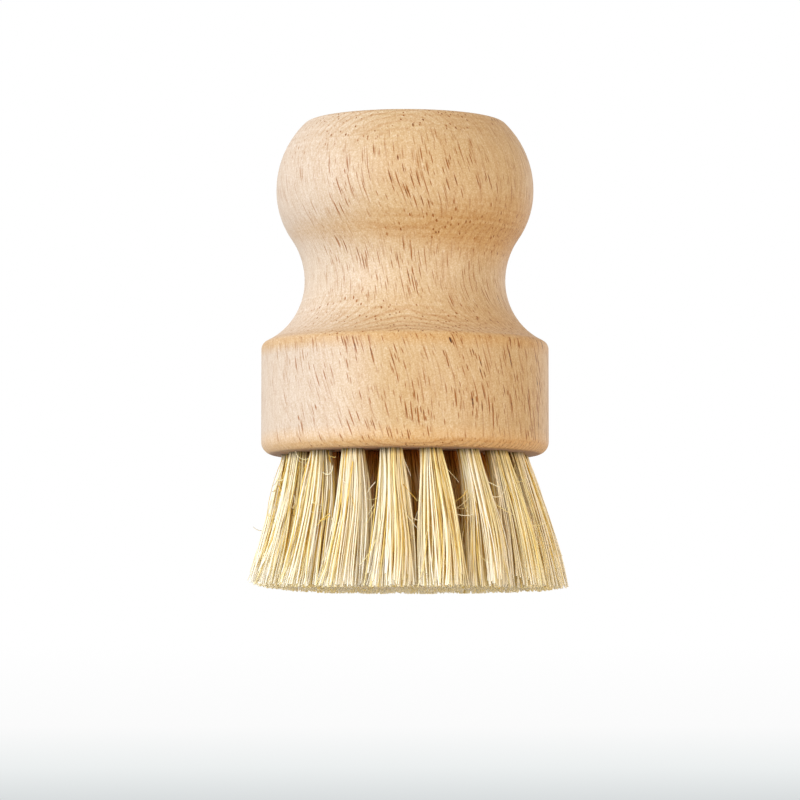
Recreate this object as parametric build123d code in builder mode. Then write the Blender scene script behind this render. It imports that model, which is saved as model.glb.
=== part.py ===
from build123d import *

import os
from math import acos, asin, atan2, cos, degrees, hypot, radians, sin, sqrt

# A palm brush: one turned wooden handle, and tufts of plant fibre that are each folded
# over a wire staple in a blind hole of its underside. Millimetres, +Z up, the axis of
# the turning on Z, the trimmed fibre tips on the plane Z = 0.

os.makedirs("parts", exist_ok=True)

# Handle: heights above the tips, and radii there
height = 85.0
knob_z = 72.5
knob_radius = 23.35
waist_z = 56.0
waist_radius = 18.2
underside_z = 24.5
collar_radius = 26.0

# Handle: radii of the arcs of its outline, from the top down
top_edge_round = 1.8
shoulder_arc = 17.0
knob_arc = 15.4
cove_arc = 12.3
collar_edge_arc = 1.5
bottom_edge_round = 2.3

# Tuft holes: rings one spacing apart at the underside, and further apart at the tips
hole_radius = 2.1
hole_depth = 9.0
hole_overrun = 1.0
root_spacing = 6.75
tip_spacing = 8.4

# Rings of tufts, from the centre out: name, number of tufts, direction of the first
ring_layout = [
    ("centre", 1, 0.0),
    ("inner", 6, 33.0),
    ("middle", 12, 3.0),
    ("outer", 18, 3.0),
]

# Strands of a tuft: places of a triangular lattice that opens out towards the tips
lattice_circles = [(1, 0.0, 0.0), (6, 1.0, 30.0), (6, sqrt(3), 0.0)]
lattice_at_underside = 0.92
lattice_at_tips = 1.8
lattice_turn = 8.0
strand_sides = 4
strand_share = 0.46
strand_embedding = 1.0

# Trim of the tips: a shallow dome, cut flat where the brush stands
rim_radius = 29.0
rim_rise = 1.8
flat_cut = 0.5

# Staples: wire, width and legs, and the folded fibre between crown and hole bottom
wire_radius = 0.3
staple_width = 2.6
staple_leg = 4.2
staple_bend = 0.7
fold_thickness = 1.2


def outward(direction):
    """Unit vector away from the axis of the brush."""
    return Vector(cos(radians(direction)), sin(radians(direction)), 0)


def hole_mouth(ring, direction):
    """Plane across a hole's mouth: origin on the underside, X along the ring, Z to the tips."""
    lean = atan2(ring * (tip_spacing - root_spacing), underside_z)
    return Plane(
        origin=outward(direction) * ring * root_spacing + Vector(0, 0, underside_z),
        x_dir=outward(direction + 90),
        z_dir=outward(direction) * sin(lean) - Vector(0, 0, cos(lean)),
    )


def trim_height(radius):
    """Height of the trimmed tips at a radius."""
    return max(0.0, rim_rise * (radius / rim_radius) ** 2 - flat_cut)


# Every hole with its tuft: ring number, direction, the tuft's name and its lattice's turn
holes = []
for ring, (ring_name, count, first) in enumerate(ring_layout):
    for index in range(count):
        direction = first + 360 * index / count
        tuft_name = f"tuft_{ring_name}_{index + 1:02d}" if count > 1 else f"tuft_{ring_name}"
        holes.append((ring, direction, tuft_name, direction + lattice_turn * (index % 3 - 1)))

# One staple, drawn at the hole's mouth: crown over the fold, legs down past the hole's bottom
crown_z = -(hole_depth - fold_thickness - wire_radius)
leg_end_z = crown_z - staple_leg
leg_x = staple_width / 2
with BuildPart() as staple:
    with BuildLine(Plane.XZ):
        FilletPolyline(
            (-leg_x, leg_end_z),
            (-leg_x, crown_z),
            (leg_x, crown_z),
            (leg_x, leg_end_z),
            radius=staple_bend,
        )
    with BuildSketch(Plane.XY.offset(leg_end_z)):
        with Locations((-leg_x, 0)):
            Circle(wire_radius)
    sweep()

# The staples of each ring, one group of separate wires
for staple_ring, (ring_name, _, _) in enumerate(ring_layout):
    mouths = [hole_mouth(ring, direction) for ring, direction, _, _ in holes if ring == staple_ring]
    with BuildPart() as staples:
        with Locations(*mouths):
            add(staple.part)
    staples.part.label = f"staples_{ring_name}"
    export_step(staples.part, f"parts/staples_{ring_name}.step")

# Handle: an outline of tangent arcs, turned about Z, with a hole for each tuft.
# The waist arc is the one that touches both the knob arc and the waist radius.
knob_drop = knob_z - waist_z
waist_depth = knob_radius - waist_radius
knob_and_waist_arcs = (waist_depth**2 + knob_drop**2) / (2 * waist_depth)
waist_arc = knob_and_waist_arcs - knob_arc
knob_turn = degrees(asin(knob_drop / knob_and_waist_arcs))
cove_and_edge_arcs = cove_arc + collar_edge_arc
cove_turn = degrees(acos(1 - (collar_radius - waist_radius) / cove_and_edge_arcs))
top_radius = knob_radius - shoulder_arc + sqrt(shoulder_arc**2 - (height - knob_z) ** 2)
with BuildPart() as handle:
    with BuildSketch(Plane.XZ):
        with BuildLine():
            Line((0, height), (top_radius, height))
            shoulder = RadiusArc((top_radius, height), (knob_radius, knob_z), shoulder_arc)
            knob = JernArc(shoulder @ 1, (0, -1), knob_arc, -knob_turn)
            waist = JernArc(knob @ 1, knob % 1, waist_arc, knob_turn)
            cove = JernArc(waist @ 1, waist % 1, cove_arc, cove_turn)
            edge = JernArc(cove @ 1, cove % 1, collar_edge_arc, -cove_turn)
            Polyline(edge @ 1, (collar_radius, underside_z), (0, underside_z), (0, height))
        make_face()
        fillet(vertices().sort_by_distance((top_radius, height, 0))[0], top_edge_round)
        fillet(vertices().sort_by_distance((collar_radius, underside_z, 0))[0], bottom_edge_round)
    revolve(axis=Axis.Z)
    for ring, direction, _, _ in holes:
        mouth = hole_mouth(ring, direction)
        with Locations(mouth.offset(hole_overrun)):
            Hole(hole_radius, hole_depth + hole_overrun)
        with Locations(mouth):
            add(staple.part, mode=Mode.SUBTRACT)
handle.part.label = "handle"
export_step(handle.part, "parts/handle.step")


def strand_section(ring, direction, place, z):
    """Centre and half diagonal of a strand's cut at a height: all strands open out alike."""
    opening = (underside_z - z) / underside_z
    tuft_centre = outward(direction) * ring * (root_spacing + opening * (tip_spacing - root_spacing))
    lattice = lattice_at_underside + opening * (lattice_at_tips - lattice_at_underside)
    return tuft_centre + place * lattice, strand_share * lattice


def strand(ring, direction, place, turn):
    """One strand: a straight loft of squares from inside the hole to the trimmed tip."""
    free_tip, _ = strand_section(ring, direction, place, 0)
    with BuildPart() as fibres:
        for z in (underside_z + strand_embedding, trim_height(hypot(free_tip.X, free_tip.Y))):
            centre, half_diagonal = strand_section(ring, direction, place, z)
            with BuildSketch(Plane.XY.offset(z)):
                with Locations((centre.X, centre.Y)):
                    RegularPolygon(half_diagonal, strand_sides, rotation=turn)
        loft(ruled=True)
    return fibres.part


# Tufts: the folded root that fills the hole, less its staple, and the strands fused to it
strand_count = 0
for ring, direction, tuft_name, turn in holes:
    places = [
        outward(turn + start + 360 * index / count) * distance
        for count, distance, start in lattice_circles
        for index in range(count)
    ]
    strands = [strand(ring, direction, place, turn) for place in places]
    strand_count += len(strands)
    mouth = hole_mouth(ring, direction)
    with BuildPart() as tuft:
        with Locations(mouth.offset(-hole_depth)):
            Cylinder(
                hole_radius,
                hole_depth + hole_overrun,
                align=(Align.CENTER, Align.CENTER, Align.MIN),
            )
        split(bisect_by=Plane.XY.offset(underside_z), keep=Keep.TOP)
        with Locations(mouth):
            add(staple.part, mode=Mode.SUBTRACT)
        add(strands)
    tuft.part.label = tuft_name
    export_step(tuft.part, f"parts/{tuft_name}.step")
print("strands in all:", strand_count)
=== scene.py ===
import math

import bpy
import numpy as np
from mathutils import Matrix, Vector


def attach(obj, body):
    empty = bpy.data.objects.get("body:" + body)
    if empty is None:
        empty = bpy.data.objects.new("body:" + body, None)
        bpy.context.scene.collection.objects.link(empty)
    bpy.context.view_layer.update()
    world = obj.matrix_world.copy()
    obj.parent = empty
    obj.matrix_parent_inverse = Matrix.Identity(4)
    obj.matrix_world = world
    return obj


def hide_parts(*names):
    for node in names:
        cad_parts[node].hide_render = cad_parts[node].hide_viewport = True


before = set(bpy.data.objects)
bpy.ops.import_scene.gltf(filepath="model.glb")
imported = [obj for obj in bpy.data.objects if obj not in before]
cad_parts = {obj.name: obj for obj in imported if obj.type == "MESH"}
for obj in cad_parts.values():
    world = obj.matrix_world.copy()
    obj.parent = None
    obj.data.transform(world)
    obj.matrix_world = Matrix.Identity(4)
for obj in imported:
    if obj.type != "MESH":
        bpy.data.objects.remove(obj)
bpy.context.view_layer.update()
MM = 0.001

# Turned handle
# One block of rubberwood, turned between centres with its grain along the axis, sanded and
# left matte. Its open vessels are orange-brown streaks on the sides, where the cut runs along
# them, and dots on the shoulder, under the knob and in the cove, where it runs across.

GRAIN_LEAN = math.radians(12)  # the blank's grain runs a little off the axis
GRAIN_WAVE = 1.1               # how far the grain wanders to the side, in mm
GRAIN_WAVE_LENGTH = 22.0       # over this length, in mm
PITH = (8.0, -95.0, 0.0)       # where the middle of the tree was, in mm
SEASON_WIDTH = 3.6             # one season's growth, in mm
LAYER_WIDTH = 1.15             # the finer layers within it
WAIST_HEIGHT = 57.0            # of its narrowest place above the tips, in mm
COLLAR_EDGE = 44.0             # height of the collar's upper edge
LOWER_EDGE = (28.6, 25.4)      # heights where the painted warm light on its lower edge begins and is full
UNDERSIDE_SHADE = (24.75, 24.55)        # and the same for the painted dark brown shadow on the underside around the holes
DRIFT_SIZE = (9, 40)           # width and length of a patch of ground colour, in mm
LAYER_WANDER = 2.6             # how far a layer wanders with the ground colour, in mm
FLECK_SIZE = (0.4, 5.0)        # of a fleck of fibre, drawn wider than a real one, so that it shows
GRIT_SIZE = 0.27               # of the sanding's marks, drawn coarser than the grit was
TURNING_PITCH = 0.45           # from ring to ring that the turning tool left
TURNING_DRIFT = 0.02           # how much such a ring changes in a mm on its way round

# Open vessels on the sides: width, depth and length of the cell that holds one, the share of the
# cell that the vessel takes, how rare strong ones are, and how much of its colour shows
VESSELS = [
    (0.56, 5.0, 7.5, 0.27, 0.8, 1.0),
    (0.48, 5.0, 5.0, 0.26, 0.7, 0.8),
    (0.42, 5.0, 3.0, 0.26, 0.6, 0.6),
    (0.52, 5.0, 15.0, 0.26, 0.7, 0.45),
    (2.30, 5.0, 8.0, 0.08, 0.6, 1.0),
]
VESSEL_ENDS = (0.66, 0.66, 8.0, 0.28, 1.0, 1.0)
VESSEL_PATCH = (6.0, 14.0)     # vessels crowd in patches this wide and this long, in mm
OPEN_STRETCH = 1.1             # a vessel is open, and dark, over stretches about this long
MEAN_RADIUS = 22.0             # of the handle, in mm


def linear(colour):
    """A hex sRGB colour as linear red, green, blue and alpha."""
    parts = [int(colour[i:i + 2], 16) / 255 for i in (1, 3, 5)]
    return [p / 12.92 if p <= 0.04045 else ((p + 0.055) / 1.055) ** 2.4 for p in parts] + [1.0]


def add(tree, kind, inputs=(), **settings):
    """Adds a node. inputs maps its sockets to values or to the outputs they are linked to."""
    node = tree.nodes.new(kind)
    for name, value in settings.items():
        setattr(node, name, value)
    for socket, value in dict(inputs).items():
        if isinstance(value, bpy.types.NodeSocket):
            tree.links.new(value, node.inputs[socket])
        else:
            node.inputs[socket].default_value = value
    return node.outputs


rubberwood = bpy.data.materials.new("rubberwood, turned and sanded")
rubberwood.use_nodes = True
tree = rubberwood.node_tree
shader = tree.nodes["Principled BSDF"]

# Place in the blank, in mm, turned so that Z runs along the grain, then bent by its waves
place = add(tree, "ShaderNodeTexCoord")["Object"]
place = add(tree, "ShaderNodeVectorMath", {0: place, "Scale": 1 / MM}, operation="SCALE")[0]
blank = add(tree, "ShaderNodeMapping", {"Vector": place, "Rotation": (0, GRAIN_LEAN, 0)})[0]
wave = add(
    tree,
    "ShaderNodeTexNoise",
    {"Vector": blank, "Scale": 1 / GRAIN_WAVE_LENGTH, "Detail": 1.0},
)["Color"]
bend = add(tree, "ShaderNodeVectorMath", {0: wave, 1: (0.5, 0.5, 0.5)}, operation="SUBTRACT")[0]
bend = add(
    tree,
    "ShaderNodeVectorMath",
    {0: bend, 1: (4 * GRAIN_WAVE, 4 * GRAIN_WAVE, 0)},
    operation="MULTIPLY",
)[0]
grain = add(tree, "ShaderNodeVectorMath", {0: blank, 1: bend}, operation="ADD")[0]

# How far the cut runs across the grain: 0 on the sides, 1 on end grain, and the same again for
# how far it has left the sides
normal = add(tree, "ShaderNodeNewGeometry")["Normal"]
along = (-math.sin(GRAIN_LEAN), 0, math.cos(GRAIN_LEAN))
across = add(tree, "ShaderNodeVectorMath", {0: normal, 1: along}, operation="DOT_PRODUCT")["Value"]
across = add(tree, "ShaderNodeMath", {0: across}, operation="ABSOLUTE")[0]
end_grain = add(
    tree,
    "ShaderNodeMapRange",
    {"Value": across, "From Min": 0.25, "From Max": 0.85},
    interpolation_type="SMOOTHSTEP",
)[0]
off_side = add(tree, "ShaderNodeMapRange", {"Value": across, "From Min": 0.22, "From Max": 0.55})[0]

# Ground colour: drifts from pinkish cream to honey, and is painted paler and pinker on the left
# side, where the big lamp falls: a painted highlight
wide, long = DRIFT_SIZE
drift = add(
    tree,
    "ShaderNodeVectorMath",
    {0: grain, 1: (1 / wide, 1 / wide, 1 / long)},
    operation="MULTIPLY",
)[0]
drift = add(tree, "ShaderNodeTexNoise", {"Vector": drift, "Scale": 1.0, "Detail": 3.0})["Fac"]
ground = add(
    tree,
    "ShaderNodeMix",
    {0: drift, 6: linear("#D0B38A"), 7: linear("#C29F6B")},
    data_type="RGBA",
)[2]
axes = add(tree, "ShaderNodeSeparateXYZ", {0: place})
# Painted highlight: paler and pinker towards the left side
left_highlight = add(
    tree,
    "ShaderNodeMapRange",
    {"Value": axes["X"], "From Min": 0.0, "From Max": -MEAN_RADIUS, "To Max": 0.95},
    interpolation_type="SMOOTHSTEP",
)[0]
ground = add(
    tree, "ShaderNodeMix", {0: left_highlight, 6: ground, 7: linear("#CDB79D")}, data_type="RGBA"
)[2]

# Painted highlight: the waist is painted paler, where more light falls on it
from_waist = add(tree, "ShaderNodeMath", {0: axes["Z"], 1: WAIST_HEIGHT}, operation="SUBTRACT")[0]
from_waist = add(tree, "ShaderNodeMath", {0: from_waist}, operation="ABSOLUTE")[0]
# Painted highlight at the waist
sanded = add(
    tree,
    "ShaderNodeMapRange",
    {"Value": from_waist, "From Min": 1.0, "From Max": 9.0, "To Min": 0.22, "To Max": 0.0},
    interpolation_type="SMOOTHSTEP",
)[0]
ground = add(
    tree, "ShaderNodeMix", {0: sanded, 6: ground, 7: linear("#D3C4AC")}, data_type="RGBA"
)[2]

# End grain is golden, and so is the collar's upper edge; where it faces down or to the right it is
# golden and darker, painted shade. Its lower edge gets painted warm light, bounced up from below,
# and the underside around the holes a painted dark brown shadow.
faces = add(tree, "ShaderNodeSeparateXYZ", {0: normal})
golden_and_shade = add(tree, "ShaderNodeMath", {0: faces["Z"], 1: 0.3}, operation="SUBTRACT")[0]
golden_and_shade = add(tree, "ShaderNodeMath", {0: golden_and_shade}, operation="ABSOLUTE")[0]
# Painted shade: end grain that faces to the right is painted more golden and darker
shade_to_right = add(tree, "ShaderNodeMath", {0: faces["X"], 1: 0.0}, operation="MAXIMUM")[0]
golden_and_shade = add(tree, "ShaderNodeMath", {0: shade_to_right, 1: 0.7, 2: golden_and_shade}, operation="MULTIPLY_ADD")[0]
golden_and_shade = add(
    tree, "ShaderNodeMapRange", {"Value": golden_and_shade, "From Min": 0.4, "From Max": 0.95, "To Max": 0.8}
)[0]
golden_and_shade = add(tree, "ShaderNodeMath", {0: golden_and_shade, 1: off_side}, operation="MULTIPLY")[0]
from_edge = add(tree, "ShaderNodeMath", {0: axes["Z"], 1: COLLAR_EDGE}, operation="SUBTRACT")[0]
from_edge = add(tree, "ShaderNodeMath", {0: from_edge}, operation="ABSOLUTE")[0]
edge = add(
    tree,
    "ShaderNodeMapRange",
    {"Value": from_edge, "From Min": 0.5, "From Max": 2.2, "To Min": 0.75, "To Max": 0.0},
)[0]
golden_and_shade = add(tree, "ShaderNodeMath", {0: golden_and_shade, 1: edge}, operation="MAXIMUM")[0]
ground = add(
    tree, "ShaderNodeMix", {0: golden_and_shade, 6: ground, 7: linear("#C59A5F")}, data_type="RGBA"
)[2]
begins, full = LOWER_EDGE
# Painted light: the lower edge is painted warmer and lighter, as if lit from below
bounce_lift = add(
    tree,
    "ShaderNodeMapRange",
    {"Value": axes["Z"], "From Min": begins, "From Max": full, "To Max": 0.75},
)[0]
ground = add(
    tree, "ShaderNodeMix", {0: bounce_lift, 6: ground, 7: linear("#D8AD74")}, data_type="RGBA"
)[2]
begins, full = UNDERSIDE_SHADE
# Painted shadow: the underside around the holes is painted dark brown
underside_shade = add(
    tree,
    "ShaderNodeMapRange",
    {"Value": axes["Z"], "From Min": begins, "From Max": full, "To Max": 0.9},
)[0]
ground = add(
    tree, "ShaderNodeMix", {0: underside_shade, 6: ground, 7: linear("#8A5E30")}, data_type="RGBA"
)[2]

# Growth layers about the pith: soft bands on the sides, and on end grain fine contour lines
pith = add(tree, "ShaderNodeVectorMath", {0: grain, 1: PITH}, operation="SUBTRACT")[0]
pith = add(tree, "ShaderNodeVectorMath", {0: pith, 1: (1, 1, 0)}, operation="MULTIPLY")[0]
from_pith = add(tree, "ShaderNodeVectorMath", {0: pith}, operation="LENGTH")["Value"]
from_pith = add(
    tree, "ShaderNodeMath", {0: drift, 1: LAYER_WANDER, 2: from_pith}, operation="MULTIPLY_ADD"
)[0]
season = add(
    tree, "ShaderNodeMath", {0: from_pith, 1: 2 * math.pi / SEASON_WIDTH}, operation="MULTIPLY"
)[0]
season = add(tree, "ShaderNodeMath", {0: season}, operation="SINE")[0]
season = add(
    tree, "ShaderNodeMapRange", {"Value": season, "From Min": 0.3, "From Max": 1.0, "To Max": 0.16}
)[0]
layer = add(
    tree, "ShaderNodeMath", {0: from_pith, 1: 2 * math.pi / LAYER_WIDTH}, operation="MULTIPLY"
)[0]
layer = add(tree, "ShaderNodeMath", {0: layer}, operation="SINE")[0]
layer = add(
    tree, "ShaderNodeMapRange", {"Value": layer, "From Min": 0.2, "From Max": 1.0, "To Max": 0.7}
)[0]
layer = add(tree, "ShaderNodeMath", {0: layer, 1: end_grain}, operation="MULTIPLY")[0]
late_wood = add(tree, "ShaderNodeMath", {0: season, 1: layer}, operation="ADD")[0]
# The painted highlight on the left also fades the growth layers there
highlight_fade = add(tree, "ShaderNodeMath", {0: left_highlight, 1: -0.7, 2: 1.0}, operation="MULTIPLY_ADD")[0]
late_wood = add(tree, "ShaderNodeMath", {0: late_wood, 1: highlight_fade}, operation="MULTIPLY")[0]
ground = add(
    tree, "ShaderNodeMix", {0: late_wood, 6: ground, 7: linear("#B2814D")}, data_type="RGBA"
)[2]

# Shade, a power of the ground, so that darker is also richer: long flecks of fibre, grit from
# sanding, and off the sides the fine rings that the turning tool left
wide, long = FLECK_SIZE
fleck = add(
    tree,
    "ShaderNodeVectorMath",
    {0: grain, 1: (1 / wide, 1 / wide, 1 / long)},
    operation="MULTIPLY",
)[0]
fleck = add(tree, "ShaderNodeTexNoise", {"Vector": fleck, "Scale": 1.0, "Detail": 3.0})["Fac"]
grit = add(
    tree, "ShaderNodeTexNoise", {"Vector": place, "Scale": 1 / GRIT_SIZE, "Detail": 2.0}
)["Fac"]
turning = add(
    tree,
    "ShaderNodeVectorMath",
    {0: place, 1: (TURNING_DRIFT, TURNING_DRIFT, 1 / TURNING_PITCH)},
    operation="MULTIPLY",
)[0]
turning = add(tree, "ShaderNodeTexNoise", {"Vector": turning, "Scale": 1.0, "Detail": 1.0})["Fac"]
turning = add(tree, "ShaderNodeMath", {0: turning, 1: 0.5}, operation="SUBTRACT")[0]
turning = add(tree, "ShaderNodeMath", {0: turning, 1: off_side}, operation="MULTIPLY")[0]
FLECK, GRIT, TURNING = 0.65, 1.0, 0.4  # how much each adds to that power
shade = add(
    tree,
    "ShaderNodeMath",
    {0: fleck, 1: FLECK, 2: 1 - (FLECK + GRIT) / 2},
    operation="MULTIPLY_ADD",
)[0]
shade = add(tree, "ShaderNodeMath", {0: grit, 1: GRIT, 2: shade}, operation="MULTIPLY_ADD")[0]
shade = add(tree, "ShaderNodeMath", {0: turning, 1: TURNING, 2: shade}, operation="MULTIPLY_ADD")[0]

# Vessels: stretched cells, each with a vessel of its own strength, the strongest ones darkest.
# On the sides they follow the surface, so the cells are laid out around the handle: how far
# round from the front, how far out, and how high. On end grain they run across it, as dots.
back = add(tree, "ShaderNodeMath", {0: axes["Y"], 1: -1.0}, operation="MULTIPLY")[0]
round_by = add(tree, "ShaderNodeMath", {0: axes["X"], 1: back}, operation="ARCTAN2")[0]
aside = add(tree, "ShaderNodeSeparateXYZ", {0: bend})["X"]
round_by = add(
    tree, "ShaderNodeMath", {0: round_by, 1: MEAN_RADIUS, 2: aside}, operation="MULTIPLY_ADD"
)[0]
round_by = add(
    tree,
    "ShaderNodeMath",
    {0: axes["Z"], 1: math.tan(GRAIN_LEAN), 2: round_by},
    operation="MULTIPLY_ADD",
)[0]
out_by = add(tree, "ShaderNodeVectorMath", {0: place, 1: (1, 1, 0)}, operation="MULTIPLY")[0]
out_by = add(tree, "ShaderNodeVectorMath", {0: out_by}, operation="LENGTH")["Value"]
around = add(tree, "ShaderNodeCombineXYZ", {0: round_by, 1: out_by, 2: axes["Z"]})[0]
on_side = add(tree, "ShaderNodeMath", {0: 1.0, 1: off_side}, operation="SUBTRACT")[0]
vessel = None
for where, seen, (width, depth, length, share, rarity, strength) in [
    *((around, on_side, kind) for kind in VESSELS),
    (grain, off_side, VESSEL_ENDS),
]:
    cell = add(
        tree,
        "ShaderNodeVectorMath",
        {0: where, 1: (1 / width, 1 / depth, 1 / length)},
        operation="MULTIPLY",
    )[0]
    found = add(tree, "ShaderNodeTexVoronoi", {"Vector": cell, "Scale": 1.0})
    inside = add(
        tree,
        "ShaderNodeMapRange",
        {
            "Value": found["Distance"],
            "From Min": share,
            "From Max": 0.5 * share,
            "To Max": strength,
        },
    )[0]
    chance = add(tree, "ShaderNodeSeparateColor", {0: found["Color"]})[0]
    chance = add(tree, "ShaderNodeMath", {0: chance, 1: rarity}, operation="POWER")[0]
    shown = add(tree, "ShaderNodeMath", {0: inside, 1: chance}, operation="MULTIPLY")[0]
    shown = add(tree, "ShaderNodeMath", {0: shown, 1: seen}, operation="MULTIPLY")[0]
    if vessel:
        shown = add(tree, "ShaderNodeMath", {0: shown, 1: vessel}, operation="MAXIMUM")[0]
    vessel = shown
wide, long = VESSEL_PATCH
patch = add(
    tree,
    "ShaderNodeVectorMath",
    {0: grain, 1: (1 / wide, 1 / wide, 1 / long)},
    operation="MULTIPLY",
)[0]
patch = add(tree, "ShaderNodeTexNoise", {"Vector": patch, "Scale": 1.0, "Detail": 2.0})["Fac"]
patch = add(
    tree, "ShaderNodeMapRange", {"Value": patch, "From Min": 0.36, "From Max": 0.56, "To Min": 0.4}
)[0]
# The painted highlight on the left also washes out most of the vessels there
highlight_wash = add(tree, "ShaderNodeMapRange", {"Value": left_highlight, "To Min": 1.0, "To Max": 0.35})[0]
vessel = add(tree, "ShaderNodeMath", {0: vessel, 1: patch}, operation="MULTIPLY")[0]
vessel = add(tree, "ShaderNodeMath", {0: vessel, 1: highlight_wash}, operation="MULTIPLY")[0]

# Each is orange, and dark brown where it is open
wood = add(tree, "ShaderNodeGamma", {"Color": ground, "Gamma": shade})[0]
orange = add(tree, "ShaderNodeMapRange", {"Value": vessel, "From Max": 0.36, "To Max": 0.95})[0]
wood = add(tree, "ShaderNodeMix", {0: orange, 6: wood, 7: linear("#945609")}, data_type="RGBA")[2]
dark = add(
    tree, "ShaderNodeMapRange", {"Value": vessel, "From Min": 0.32, "From Max": 0.75, "To Max": 1.0}
)[0]
is_open = add(
    tree, "ShaderNodeTexNoise", {"Vector": place, "Scale": 1 / OPEN_STRETCH, "Detail": 1.0}
)["Fac"]
is_open = add(tree, "ShaderNodeMapRange", {"Value": is_open, "From Min": 0.46, "From Max": 0.6})[0]
dark = add(tree, "ShaderNodeMath", {0: dark, 1: is_open}, operation="MULTIPLY")[0]
wood = add(tree, "ShaderNodeMix", {0: dark, 6: wood, 7: linear("#3E1E04")}, data_type="RGBA")[2]
tree.links.new(wood, shader.inputs["Base Color"])

# Sanding leaves the sides smoother than the end grain, and the vessels stay open
roughness = add(tree, "ShaderNodeMapRange", {"Value": end_grain, "To Min": 0.5, "To Max": 0.62})[0]
tree.links.new(roughness, shader.inputs["Roughness"])
shader.inputs["IOR"].default_value = 1.45
shader.inputs["Specular IOR Level"].default_value = 0.5
shader.inputs["Sheen Weight"].default_value = 0.12  # fuzz that the sanding raised

# Relief, in mm
relief = add(tree, "ShaderNodeMath", {0: vessel, 1: -0.08}, operation="MULTIPLY")[0]
relief = add(tree, "ShaderNodeMath", {0: fleck, 1: 0.02, 2: relief}, operation="MULTIPLY_ADD")[0]
relief = add(tree, "ShaderNodeMath", {0: grit, 1: 0.02, 2: relief}, operation="MULTIPLY_ADD")[0]
relief = add(tree, "ShaderNodeMath", {0: turning, 1: 0.04, 2: relief}, operation="MULTIPLY_ADD")[0]
bump = add(tree, "ShaderNodeBump", {"Height": relief, "Distance": MM, "Strength": 0.6})[0]
tree.links.new(bump, shader.inputs["Normal"])

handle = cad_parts["handle"]
handle.data.materials.clear()
handle.data.materials.append(rubberwood)

# Wire staples
# U-shaped staples of drawn steel wire, driven over the fold of each tuft and on into the wood.
# They are hidden in the holes, and keep the fine lines that the drawing die leaves.

DIE_LINE = (0.05, 4)           # width and length of such a line, in mm

drawn_wire = bpy.data.materials.new("steel wire, drawn")
drawn_wire.use_nodes = True
tree = drawn_wire.node_tree
shader = tree.nodes["Principled BSDF"]
place = add(tree, "ShaderNodeTexCoord")["Object"]
wide, long = DIE_LINE
die_lines = add(
    tree,
    "ShaderNodeMapping",
    {"Vector": place, "Scale": (1 / (wide * MM), 1 / (wide * MM), 1 / (long * MM))},
)[0]
die_lines = add(tree, "ShaderNodeTexNoise", {"Vector": die_lines, "Scale": 1.0})["Fac"]
steel = add(
    tree,
    "ShaderNodeMix",
    {0: die_lines, 6: linear("#A9A7A2"), 7: linear("#8D8A84")},
    data_type="RGBA",
)[2]
tree.links.new(steel, shader.inputs["Base Color"])
polish = add(tree, "ShaderNodeMapRange", {"Value": die_lines, "To Min": 0.28, "To Max": 0.42})[0]
tree.links.new(polish, shader.inputs["Roughness"])
shader.inputs["Metallic"].default_value = 1.0
for name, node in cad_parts.items():
    if name.startswith("staples_"):
        node.data.materials.clear()
        node.data.materials.append(drawn_wire)

# Fibre tufts
# Bunches of tampico, a stiff leaf fibre, from cream to straw and gold. Each bunch is folded
# over its staple in its hole, opens out towards the tips and is trimmed there, nearly flat. The
# cut ends are painted a dull dark grey-olive, painted shade under the brush.

UNDERSIDE = 24.5      # height of the holes' mouths above the tips, in mm
RINGS = [("centre", 1, 0.0), ("inner", 6, 33.0), ("middle", 12, 3.0), ("outer", 18, 3.0)]
ROOT_SPACING = 6.75   # from ring to ring at the underside, in mm
TIP_SPACING = 8.4     # and at the tips
ROOT_RADIUS = 1.93    # of a bunch in its hole, in mm
TIP_RADIUS = 4.5      # sideways
TIP_REACH = 0.92      # a bunch opens out less away from the brush's axis
TIPS_ASIDE = (0.45, 0.0)  # all the tips are combed a little to one side, in mm
BOW_ASIDE = (0.5, 0.0)    # and the fibres' middles too
FIBRES = [110, 120, 130, 190]  # in a tuft of each ring, most where they show
FIBRE_RADIUS = (0.10, 0.185)   # thinnest and thickest fibre, in mm
FIBRE_SIDES = 5
FIBRE_STEPS = 9
LOCKS = 13            # groups of fibres that cling together in a tuft
CROWN_DEPTH = 7.5     # of the staple's wire in the hole, in mm
FOLD_DEPTH = 8.6      # of the fold over it
CROWN_GAP = 0.35      # share of the bunch's radius that the crown keeps free of fibres
LOOSE_SHARE = 0.12    # of the fibres are thin and loose
LOCK_PULL = 0.28      # share of the way that a lock draws its fibres' tips together
TIP_SHUFFLE = (0.11, 0.45)  # shuffling of the tips and of loose ones, as a share of the radius
TRIM_SCATTER = 0.16   # unevenness of the trim, in mm
WORN_SHARE = 0.18     # of the fibres are cut or worn short
WORN_SHORT = (0.3, 2.2)     # by this much, in mm
OWN_BOW = (0.22, 0.2)       # how far a fibre and a lock bow to some side, in mm
OWN_SWAY = 0.11       # and how far each sways
RIM_RADIUS = 29.0     # of the brush at its tips, in mm
RIM_RISE = 0.8        # the tips are trimmed flat, and rounded up by this much at the left and right
RIM_ROUNDING = 3      # power that the rounding follows
TRIM_TILT = 0.5       # share of the rise that the left has more, and the right less
TUFT_ROUNDING = 0.6   # how much shorter the outermost fibres of a bunch are, in mm
TRIM_DEPTH = 0.25     # the table is this far above the lowest tips, which it presses flat
STREAK_SIZE = (0.4, 6)      # width and length of a streak on the fibres' skin, in mm
GOLDEN_ANGLE = math.radians(137.508)


def trim_height(place):
    """Height of the trimmed tips at places on the table, in mm."""
    aside = place[:, 0] / RIM_RADIUS
    return RIM_RISE * np.abs(aside) ** RIM_ROUNDING * (1 - TRIM_TILT * aside)


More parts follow.
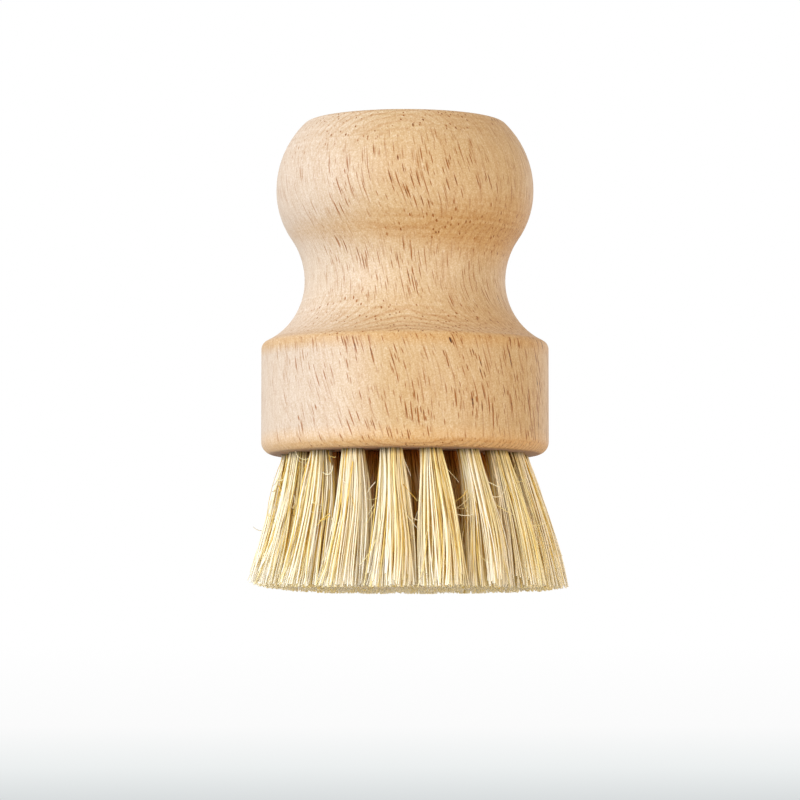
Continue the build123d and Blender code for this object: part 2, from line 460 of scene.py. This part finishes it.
def fibre_mesh(name, paths, radii, tones, shades, turns, first=0.0):
    """Tubes along paths, an array of fibres by steps by 3 in mm, with flat cut ends.

    The mesh keeps for its material each fibre's tone, the way along it from 0 at the root, or
    first, to 1 at the tip and 2 on the cut end, and its shade, which is 1 deep in the brush.
    """
    count, steps, _ = paths.shape
    run = np.gradient(paths, axis=1)
    run /= np.linalg.norm(run, axis=2, keepdims=True)
    side = np.stack([np.cos(turns), np.sin(turns), np.zeros(count)], axis=1)[:, None]
    wide = np.cross(run, side)
    wide /= np.linalg.norm(wide, axis=2, keepdims=True)
    flat = 0.75 * np.cross(run, wide)  # leaf fibres are a little flat
    angles = np.arange(FIBRE_SIDES) * 2 * math.pi / FIBRE_SIDES
    spoke = np.cos(angles)[:, None] * wide[:, :, None] + np.sin(angles)[:, None] * flat[:, :, None]
    rings = paths[:, :, None] + spoke * radii[:, :, None, None]
    points = np.concatenate([rings, rings[:, -1:]], axis=1)
    points[..., 2] = points[..., 2].clip(0, None)

    number = np.arange(count * (steps + 1) * FIBRE_SIDES).reshape(count, steps + 1, FIBRE_SIDES)
    near, far = number[:, :-2], number[:, 1:-1]
    walls = np.stack([near, np.roll(near, -1, 2), np.roll(far, -1, 2), far], axis=3).reshape(-1, 4)
    ends = np.concatenate([number[:, -1], number[:, 0, ::-1]])
    mesh = bpy.data.meshes.new(name)
    mesh.from_pydata((points.reshape(-1, 3) * MM).tolist(), [], walls.tolist() + ends.tolist())
    mesh.polygons.foreach_set("use_smooth", [True] * len(walls) + [False] * len(ends))

    facts = np.zeros((count, steps + 1, FIBRE_SIDES, 3), np.float32)
    facts[..., 0] = tones[:, None, None]
    facts[..., 1] = np.append(np.linspace(first, 1, steps), 2)[None, :, None]
    facts[..., 2] = shades[:, None, None]
    mesh.attributes.new("fibre", "FLOAT_VECTOR", "POINT").data.foreach_set("vector", facts.ravel())

    # A flat map with a square for each fibre: its wall below, its cut end and its root above
    squares = math.ceil(math.sqrt(count))
    corner = np.stack([np.arange(count) % squares, np.arange(count) // squares], axis=1) / squares
    k, s = np.meshgrid(np.arange(FIBRE_SIDES) / FIBRE_SIDES, np.arange(steps - 1) / (steps - 1))
    wall = np.stack(
        [
            np.stack([k + i / FIBRE_SIDES, 0.8 * (s + j / (steps - 1))], axis=-1)
            for i, j in ((0, 0), (1, 0), (1, 1), (0, 1))
        ],
        axis=2,
    )
    walls_at = corner[:, None, None, None] + (0.04 + 0.92 * wall) / squares
    disc = np.stack([np.cos(angles), np.sin(angles)], axis=1) * 0.07
    cuts_at = corner[:, None] + (disc + (0.3, 0.88)) / squares
    roots_at = corner[:, None] + (disc + (0.7, 0.88)) / squares
    at = np.concatenate([part.reshape(-1, 2) for part in (walls_at, cuts_at, roots_at)])
    mesh.uv_layers.new(name="OFBake").data.foreach_set("uv", at.ravel())
    return mesh


tampico = bpy.data.materials.new("tampico fibre, trimmed")
tampico.use_nodes = True
tree = tampico.node_tree
shader = tree.nodes["Principled BSDF"]
facts = add(tree, "ShaderNodeAttribute", attribute_name="fibre")["Vector"]
facts = add(tree, "ShaderNodeSeparateXYZ", {0: facts})
place = add(tree, "ShaderNodeTexCoord")["Object"]

# Skin: each fibre has its tone, which drifts along it in streaks and pales at the tip
wide, long = STREAK_SIZE
streak = add(
    tree,
    "ShaderNodeMapping",
    {"Vector": place, "Scale": (1 / (wide * MM), 1 / (wide * MM), 1 / (long * MM))},
)[0]
streak = add(tree, "ShaderNodeTexNoise", {"Vector": streak, "Scale": 1.0, "Detail": 2.0})["Fac"]
tone = add(tree, "ShaderNodeMath", {0: streak, 1: 0.3, 2: facts["X"]}, operation="MULTIPLY_ADD")[0]
tone = add(tree, "ShaderNodeMath", {0: tone, 1: 0.15}, operation="SUBTRACT")[0]
paler = add(
    tree,
    "ShaderNodeMapRange",
    {"Value": facts["Y"], "From Min": 0.8, "From Max": 1.0, "To Max": 0.25},
)[0]
tone = add(tree, "ShaderNodeMath", {0: tone, 1: paler}, operation="SUBTRACT")[0]
SKIN = [
    (0.0, "#F7F0DC"),
    (0.3, "#F7ECCB"),
    (0.5, "#F5E8B8"),
    (0.7, "#F1DB92"),
    (0.85, "#EAC660"),
    (1.0, "#DFAE42"),
]
ramp = tree.nodes.new("ShaderNodeValToRGB")
tree.links.new(tone, ramp.inputs["Fac"])
ramp.color_ramp.elements[0].color = linear(SKIN[0][1])
ramp.color_ramp.elements[1].color = linear(SKIN[-1][1])
for position, colour in SKIN[1:-1]:
    ramp.color_ramp.elements.new(position).color = linear(colour)

# Painted shade: deep in the brush the fibres turn golden towards their holes. At the holes all
# of them are painted darker and richer, and a painted dark brown shadow lies in the mouths and
# deep between the bunches.
from_hole = add(
    tree,
    "ShaderNodeMapRange",
    {"Value": facts["Y"], "From Min": 0.27, "From Max": 0.85, "To Min": 0.85, "To Max": 0.0},
)[0]
# Painted shade: golden deep in the brush, towards the holes
deep = add(tree, "ShaderNodeMath", {0: from_hole, 1: facts["Z"]}, operation="MULTIPLY")[0]
skin = add(
    tree,
    "ShaderNodeMix",
    {0: deep, 6: ramp.outputs["Color"], 7: linear("#E6AF55")},
    data_type="RGBA",
)[2]
at_hole = add(
    tree,
    "ShaderNodeMapRange",
    {"Value": facts["Y"], "From Min": 0.27, "From Max": 0.42, "To Min": 1.0, "To Max": 0.0},
)[0]
# Painted shade: near their holes the fibres are painted darker and richer, most deep in the brush
richer = add(tree, "ShaderNodeMapRange", {"Value": facts["Z"], "To Min": 0.6, "To Max": 1.6})[0]
richer = add(tree, "ShaderNodeMath", {0: richer, 1: at_hole, 2: 1.0}, operation="MULTIPLY_ADD")[0]
skin = add(tree, "ShaderNodeGamma", {"Color": skin, "Gamma": richer})[0]
# Painted shadow: a dark brown line just below the mouths, and painted shade near the holes deep in
# the brush
mouth = add(
    tree,
    "ShaderNodeMapRange",
    {"Value": facts["Y"], "From Min": 0.274, "From Max": 0.308, "To Min": 0.65, "To Max": 0.0},
)[0]
root_shade = add(tree, "ShaderNodeMath", {0: at_hole, 1: facts["Z"]}, operation="MULTIPLY")[0]
root_shade = add(tree, "ShaderNodeMath", {0: root_shade, 1: 0.5}, operation="MULTIPLY")[0]
root_shade = add(tree, "ShaderNodeMath", {0: root_shade, 1: mouth}, operation="MAXIMUM")[0]
skin = add(tree, "ShaderNodeMix", {0: root_shade, 6: skin, 7: linear("#4A2405")}, data_type="RGBA")[2]
# Painted shade: the cut ends are painted dark grey-olive for the shade under the brush
cut = add(tree, "ShaderNodeMath", {0: facts["Y"], 1: 1.5}, operation="GREATER_THAN")[0]
skin = add(tree, "ShaderNodeMix", {0: cut, 6: skin, 7: linear("#716A5A")}, data_type="RGBA")[2]
tree.links.new(skin, shader.inputs["Base Color"])
gloss = add(tree, "ShaderNodeMapRange", {"Value": streak, "To Min": 0.42, "To Max": 0.62})[0]
tree.links.new(gloss, shader.inputs["Roughness"])
shader.inputs["IOR"].default_value = 1.5
shader.inputs["Specular IOR Level"].default_value = 0.15

rng = np.random.default_rng(37)
for ring, (ring_name, count, start) in enumerate(RINGS):
    for index in range(count):
        name = f"tuft_{ring_name}_{index + 1:02d}" if count > 1 else f"tuft_{ring_name}"
        direction = math.radians(start + 360 * index / count)
        outward = np.array([math.cos(direction), math.sin(direction)])
        fibres = FIBRES[ring]

        # Each fibre's place in the bunch, and the lock that it clings to
        spread = np.sqrt((np.arange(fibres) + 0.5) / fibres)
        angle = np.arange(fibres) * GOLDEN_ANGLE + rng.normal(0, 0.3, fibres) + rng.uniform(0, 6.3)
        bunch = spread[:, None] * np.stack([np.cos(angle), np.sin(angle)], 1)
        lock_spread = np.sqrt((np.arange(LOCKS) + 0.5) / LOCKS)
        lock_angle = np.arange(LOCKS) * GOLDEN_ANGLE + rng.uniform(0, 6.3)
        locks = lock_spread[:, None] * np.stack([np.cos(lock_angle), np.sin(lock_angle)], 1)
        lock = np.linalg.norm(bunch[:, None] - locks[None], axis=2).argmin(1)
        loose = rng.random(fibres) < LOOSE_SHARE

        # Tips: drawn to their lock, shuffled, trimmed nearly flat, and some cut or worn short
        shuffle, loose_shuffle = TIP_SHUFFLE
        at_tip = bunch + LOCK_PULL * (locks[lock] - bunch) + rng.normal(0, shuffle, (fibres, 2))
        at_tip[loose] += rng.normal(0, loose_shuffle, (loose.sum(), 2))
        at_tip /= np.maximum(1, np.linalg.norm(at_tip, axis=1, keepdims=True) / 1.05)
        root = outward * ring * ROOT_SPACING + bunch * ROOT_RADIUS
        at_tip += (TIP_REACH - 1) * (at_tip @ outward)[:, None] * outward
        tip = outward * ring * TIP_SPACING + at_tip * TIP_RADIUS * rng.uniform(0.94, 1.06)
        short = rng.exponential(TRIM_SCATTER, fibres)
        short += (rng.random(fibres) < WORN_SHARE) * rng.uniform(*WORN_SHORT, fibres)
        tip_z = (trim_height(tip) + short + TUFT_ROUNDING * spread**3 - TRIM_DEPTH).clip(0, None)
        tip = tip + TIPS_ASIDE + rng.normal(0, 0.25, 2)
        tip = root + (tip - root) * ((UNDERSIDE - tip_z) / UNDERSIDE)[:, None]

        # Free length: straight but for a slight bow and sway of its own
        t = np.linspace(0, 1, FIBRE_STEPS)
        fibre_bow, lock_bow = OWN_BOW
        bow = BOW_ASIDE + rng.normal(0, fibre_bow, (fibres, 2))
        bow = bow + rng.normal(0, lock_bow, (LOCKS, 2))[lock]
        sway = rng.normal(0, OWN_SWAY, (fibres, 2)) + rng.normal(0, OWN_SWAY, (LOCKS, 2))[lock]
        sway[loose] *= 2
        free = np.empty((fibres, FIBRE_STEPS, 3))
        free[:, :, :2] = (
            root[:, None]
            + (tip - root)[:, None] * t[None, :, None]
            + bow[:, None] * np.sin(math.pi * t)[None, :, None]
            + sway[:, None] * np.sin(2 * math.pi * t)[None, :, None]
        )
        free[:, :, 2] = UNDERSIDE + (tip_z - UNDERSIDE)[:, None] * t

        # In the hole: along its axis, past one side of the staple's crown, and up to the fold
        lean = -outward * ring * (TIP_SPACING - ROOT_SPACING) / UNDERSIDE
        from_crown = bunch @ outward
        beside = np.sign(from_crown) * np.maximum(np.abs(from_crown), CROWN_GAP) * ROOT_RADIUS
        held = np.empty((fibres, 3, 3))
        for step, (depth, offset) in enumerate(
            ((FOLD_DEPTH, 0.2 * beside), (CROWN_DEPTH, beside), (0.5 * CROWN_DEPTH, beside))
        ):
            moved = offset - from_crown * ROOT_RADIUS
            held[:, step, :2] = root + lean * depth + moved[:, None] * outward
            held[:, step, 2] = UNDERSIDE + depth
        paths = np.concatenate([held, free], axis=1)

        thick = rng.uniform(*FIBRE_RADIUS, fibres) * np.where(loose, 0.7, 1)
        steps = paths.shape[1]
        radii = thick[:, None] * np.linspace(1, 0.85, steps) * rng.normal(1, 0.05, (fibres, steps))

        # Tone: half its lock's and half its own, more golden on loose fibres, and more golden
        # inside the bunch, which is painted golden shade between the fibres
        tones = 0.5 * rng.beta(1.4, 2.4, LOCKS)[lock] + 0.5 * rng.beta(1.3, 2.2, fibres)
        tones = 0.9 * tones + 0.4 * ((0.8 - spread) / 0.3).clip(0, 1)
        tones = np.where(loose, 0.8, tones).clip(0, 1)
        depth_in_brush = 1 - np.hypot(*root.T) / (3 * ROOT_SPACING)
        shades = (depth_in_brush * 4 + 0.1).clip(0, 1)
        piece = bpy.data.objects.new(
            name.replace("tuft", "fibres"),
            fibre_mesh(name, paths, radii, tones, shades, rng.uniform(0, 6.3, fibres)),
        )
        bpy.context.scene.collection.objects.link(piece)
        piece.data.materials.append(tampico)
        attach(piece, "root")
        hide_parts(name)

# Stray fibres
# Thin curly hairs of the same fibre, split off the bunches by the trimming. Each is held by
# one end in a bunch of the outermost ring, mostly near its hole, and curls out of it.

STRAYS = 190
STRAY_LENGTH = (2.0, 6.0)      # in mm
STRAY_RADIUS = (0.05, 0.1)
STRAY_LOWEST = 0.7             # share of the way down a bunch below which none begins
STRAY_STEPS = 9
STRAY_CURL = 1.5               # how far one turns over its length, in radians

rng = np.random.default_rng(54)
ring_count, ring_start = RINGS[-1][1:]
mother = np.radians(ring_start + 360 / ring_count * rng.integers(0, ring_count, STRAYS))
down = rng.beta(1.0, 1.6, STRAYS) * STRAY_LOWEST  # how far down the bunch a stray begins
ring_radius = (len(RINGS) - 1) * (ROOT_SPACING + down * (TIP_SPACING - ROOT_SPACING))
bunch_radius = ROOT_RADIUS + down * (TIP_RADIUS - ROOT_RADIUS)
flank = rng.choice((-1, 1), STRAYS)  # of the bunch that the stray is on
facing = mother + rng.uniform(0.2, 1.6, STRAYS) * flank
start_at = np.stack(
    [
        ring_radius * np.cos(mother) + 0.9 * bunch_radius * np.cos(facing),
        ring_radius * np.sin(mother) + 0.9 * bunch_radius * np.sin(facing),
        UNDERSIDE * (1 - down) - 0.6,
    ],
    axis=1,
)
aside = mother + rng.uniform(1.2, 1.8, STRAYS) * flank
lean = np.stack([np.cos(aside), np.sin(aside), -rng.uniform(0.2, 3.0, STRAYS)], axis=1)
lean /= np.linalg.norm(lean, axis=1, keepdims=True)
turn_to = np.cross(lean, rng.normal(0, 1, (STRAYS, 3)))
turn_to /= np.linalg.norm(turn_to, axis=1, keepdims=True)
turned = rng.normal(0, STRAY_CURL, STRAYS)[:, None] * np.linspace(0, 1, STRAY_STEPS)
step_long = rng.uniform(*STRAY_LENGTH, STRAYS) / (STRAY_STEPS - 1)
step_by = np.cos(turned)[..., None] * lean[:, None] + np.sin(turned)[..., None] * turn_to[:, None]
paths = start_at[:, None] + np.cumsum(step_by * step_long[:, None, None], axis=1)
paths[..., 2] = paths[..., 2].clip(1.0, UNDERSIDE - 0.1)
strays = bpy.data.objects.new(
    "stray_fibres",
    fibre_mesh(
        "stray_fibres",
        paths,
        rng.uniform(*STRAY_RADIUS, STRAYS)[:, None] * np.linspace(1, 0.6, STRAY_STEPS),
        rng.uniform(0.2, 0.95, STRAYS),
        np.zeros(STRAYS),
        rng.uniform(0, 6.3, STRAYS),
        first=0.4,
    ),
)
bpy.context.scene.collection.objects.link(strays)
strays.data.materials.append(tampico)
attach(strays, "root")

# Studio
# A pale table under the tips, which is seen from above only, because the photograph looks at
# the brush from just below its tips. It takes the brush's shadow but gives it none, and fades
# into a soft white surround. Two lamps stand at the front: a big one left, a weak one right. A
# faint one low at the front and one at the back right lift the edges there.

TABLE_HALF = 8.0               # half its side, in m
TABLE_FADE = (0.15, 1.2)       # distances where it begins to fade and is gone, in m
BRUSH_MIDDLE = (0, 0, 0.045)   # where the lamps point
table = bpy.data.objects.new("studio_table", bpy.data.meshes.new("studio_table"))
corners = [(x * TABLE_HALF, y * TABLE_HALF, 0) for x, y in ((-1, -1), (1, -1), (1, 1), (-1, 1))]
table.data.from_pydata(corners, [], [(0, 1, 2, 3)])
bpy.context.scene.collection.objects.link(table)
laminate = bpy.data.materials.new("laminate, pale and matte")
laminate.use_nodes = True
tree = laminate.node_tree
shader = tree.nodes["Principled BSDF"]
place = add(tree, "ShaderNodeTexCoord")["Object"]
mottle = add(tree, "ShaderNodeTexNoise", {"Vector": place, "Scale": 6.0})["Fac"]
pale = add(
    tree, "ShaderNodeMix", {0: mottle, 6: linear("#ECEDEE"), 7: linear("#E6E8EA")}, data_type="RGBA"
)[2]
tree.links.new(pale, shader.inputs["Base Color"])
shader.inputs["Roughness"].default_value = 0.7
below = add(tree, "ShaderNodeNewGeometry")["Backfacing"]
far = add(tree, "ShaderNodeVectorMath", {0: place}, operation="LENGTH")["Value"]
begins, gone = TABLE_FADE
far = add(
    tree,
    "ShaderNodeMapRange",
    {"Value": far, "From Min": begins, "From Max": gone},
    interpolation_type="SMOOTHSTEP",
)[0]
unseen = add(tree, "ShaderNodeMath", {0: below, 1: far}, operation="MAXIMUM")[0]
clear = add(tree, "ShaderNodeBsdfTransparent")[0]
fading = add(tree, "ShaderNodeMixShader", {0: unseen, 1: shader.outputs[0], 2: clear})[0]
tree.links.new(fading, tree.nodes["Material Output"].inputs["Surface"])
table.data.materials.append(laminate)
table.visible_diffuse = False
table.visible_glossy = False
table.visible_shadow = False

# Surround: soft light for the brush, less of it from the upper right, and to the eye white,
# greying below the horizon as the photograph's sweep does
world = bpy.context.scene.world or bpy.data.worlds.new("studio surround")
bpy.context.scene.world = world
world.use_nodes = True
tree = world.node_tree
background = tree.nodes["Background"]
background.inputs["Color"].default_value = linear("#FFFBF6")
towards = add(tree, "ShaderNodeTexCoord")["Generated"]
height = add(tree, "ShaderNodeSeparateXYZ", {0: towards})["Z"]
from_above = add(
    tree,
    "ShaderNodeMapRange",
    {"Value": height, "From Min": -1.0, "From Max": 0.7, "To Min": 0.36, "To Max": 0.96},
)[0]
high_right = add(
    tree, "ShaderNodeVectorMath", {0: towards, 1: (1, 0, 1)}, operation="DOT_PRODUCT"
)["Value"]
shaded = add(
    tree,
    "ShaderNodeMapRange",
    {"Value": high_right, "From Min": 0.5, "From Max": 1.4, "To Min": 1.0, "To Max": 0.45},
)[0]
from_above = add(tree, "ShaderNodeMath", {0: from_above, 1: shaded}, operation="MULTIPLY")[0]
tree.links.new(from_above, background.inputs["Strength"])

# Degrees above the horizon, and the colour that the eye sees there
SWEEP = [(-1.71, "#D9DDDE"), (-1.2, "#EDF0F0"), (-0.6, "#FBFBFB"), (0.6, "#FFFFFF")]
lowest = math.sin(math.radians(SWEEP[0][0]))
highest = math.sin(math.radians(SWEEP[-1][0]))
height = add(
    tree, "ShaderNodeMapRange", {"Value": height, "From Min": lowest, "From Max": highest}
)[0]
sweep = tree.nodes.new("ShaderNodeValToRGB")
tree.links.new(height, sweep.inputs["Fac"])
sweep.color_ramp.elements[0].color = linear(SWEEP[0][1])
sweep.color_ramp.elements[1].color = linear(SWEEP[-1][1])
for elevation, colour in SWEEP[1:-1]:
    position = (math.sin(math.radians(elevation)) - lowest) / (highest - lowest)
    sweep.color_ramp.elements.new(position).color = linear(colour)
backdrop = add(tree, "ShaderNodeBackground", {"Color": sweep.outputs["Color"], "Strength": 1.0})[0]
seen = add(tree, "ShaderNodeLightPath")["Is Camera Ray"]
surround = add(tree, "ShaderNodeMixShader", {0: seen, 1: background.outputs[0], 2: backdrop})[0]
tree.links.new(surround, tree.nodes["World Output"].inputs["Surface"])

for name, at, size, watts, colour in (
    ("soft key", (-0.82, -0.66, 0.26), 0.8, 13.6, "#DEE9FF"),
    ("soft fill", (0.80, -0.60, -0.08), 0.6, 5.2, "#FFE8CC"),
    ("bounce", (-0.10, -0.75, -0.45), 0.8, 0.2, "#FFF2E2"),
    ("rim", (0.45, 0.60, 0.08), 0.4, 0.45, "#E4EEFF"),
):
    lamp = bpy.data.objects.new(name, bpy.data.lights.new(name, "AREA"))
    lamp.data.size = size
    lamp.data.energy = watts
    lamp.data.color = linear(colour)[:3]
    lamp.location = at
    to_brush = Vector(BRUSH_MIDDLE) - lamp.location
    lamp.rotation_euler = to_brush.to_track_quat("-Z", "Y").to_euler()
    bpy.context.scene.collection.objects.link(lamp)

# Camera
# It stands 0.7 m in front, 17 mm below the plane of the tips, and looks slightly up.

camera = bpy.data.objects.new("camera", bpy.data.cameras.new("camera"))
camera.location = (-0.0009, -0.70, -0.017)
to_brush = Vector((-0.0009, 0, 0.03445)) - camera.location
camera.rotation_euler = to_brush.to_track_quat("-Z", "Y").to_euler()
camera.data.sensor_width = 36.0
camera.data.lens = 174.5
camera.data.clip_start = 0.01
bpy.context.scene.collection.objects.link(camera)
bpy.context.scene.camera = camera
bpy.context.scene.view_settings.view_transform = "Standard"
bpy.context.scene.cycles.max_bounces = 14
bpy.context.scene.cycles.diffuse_bounces = 12
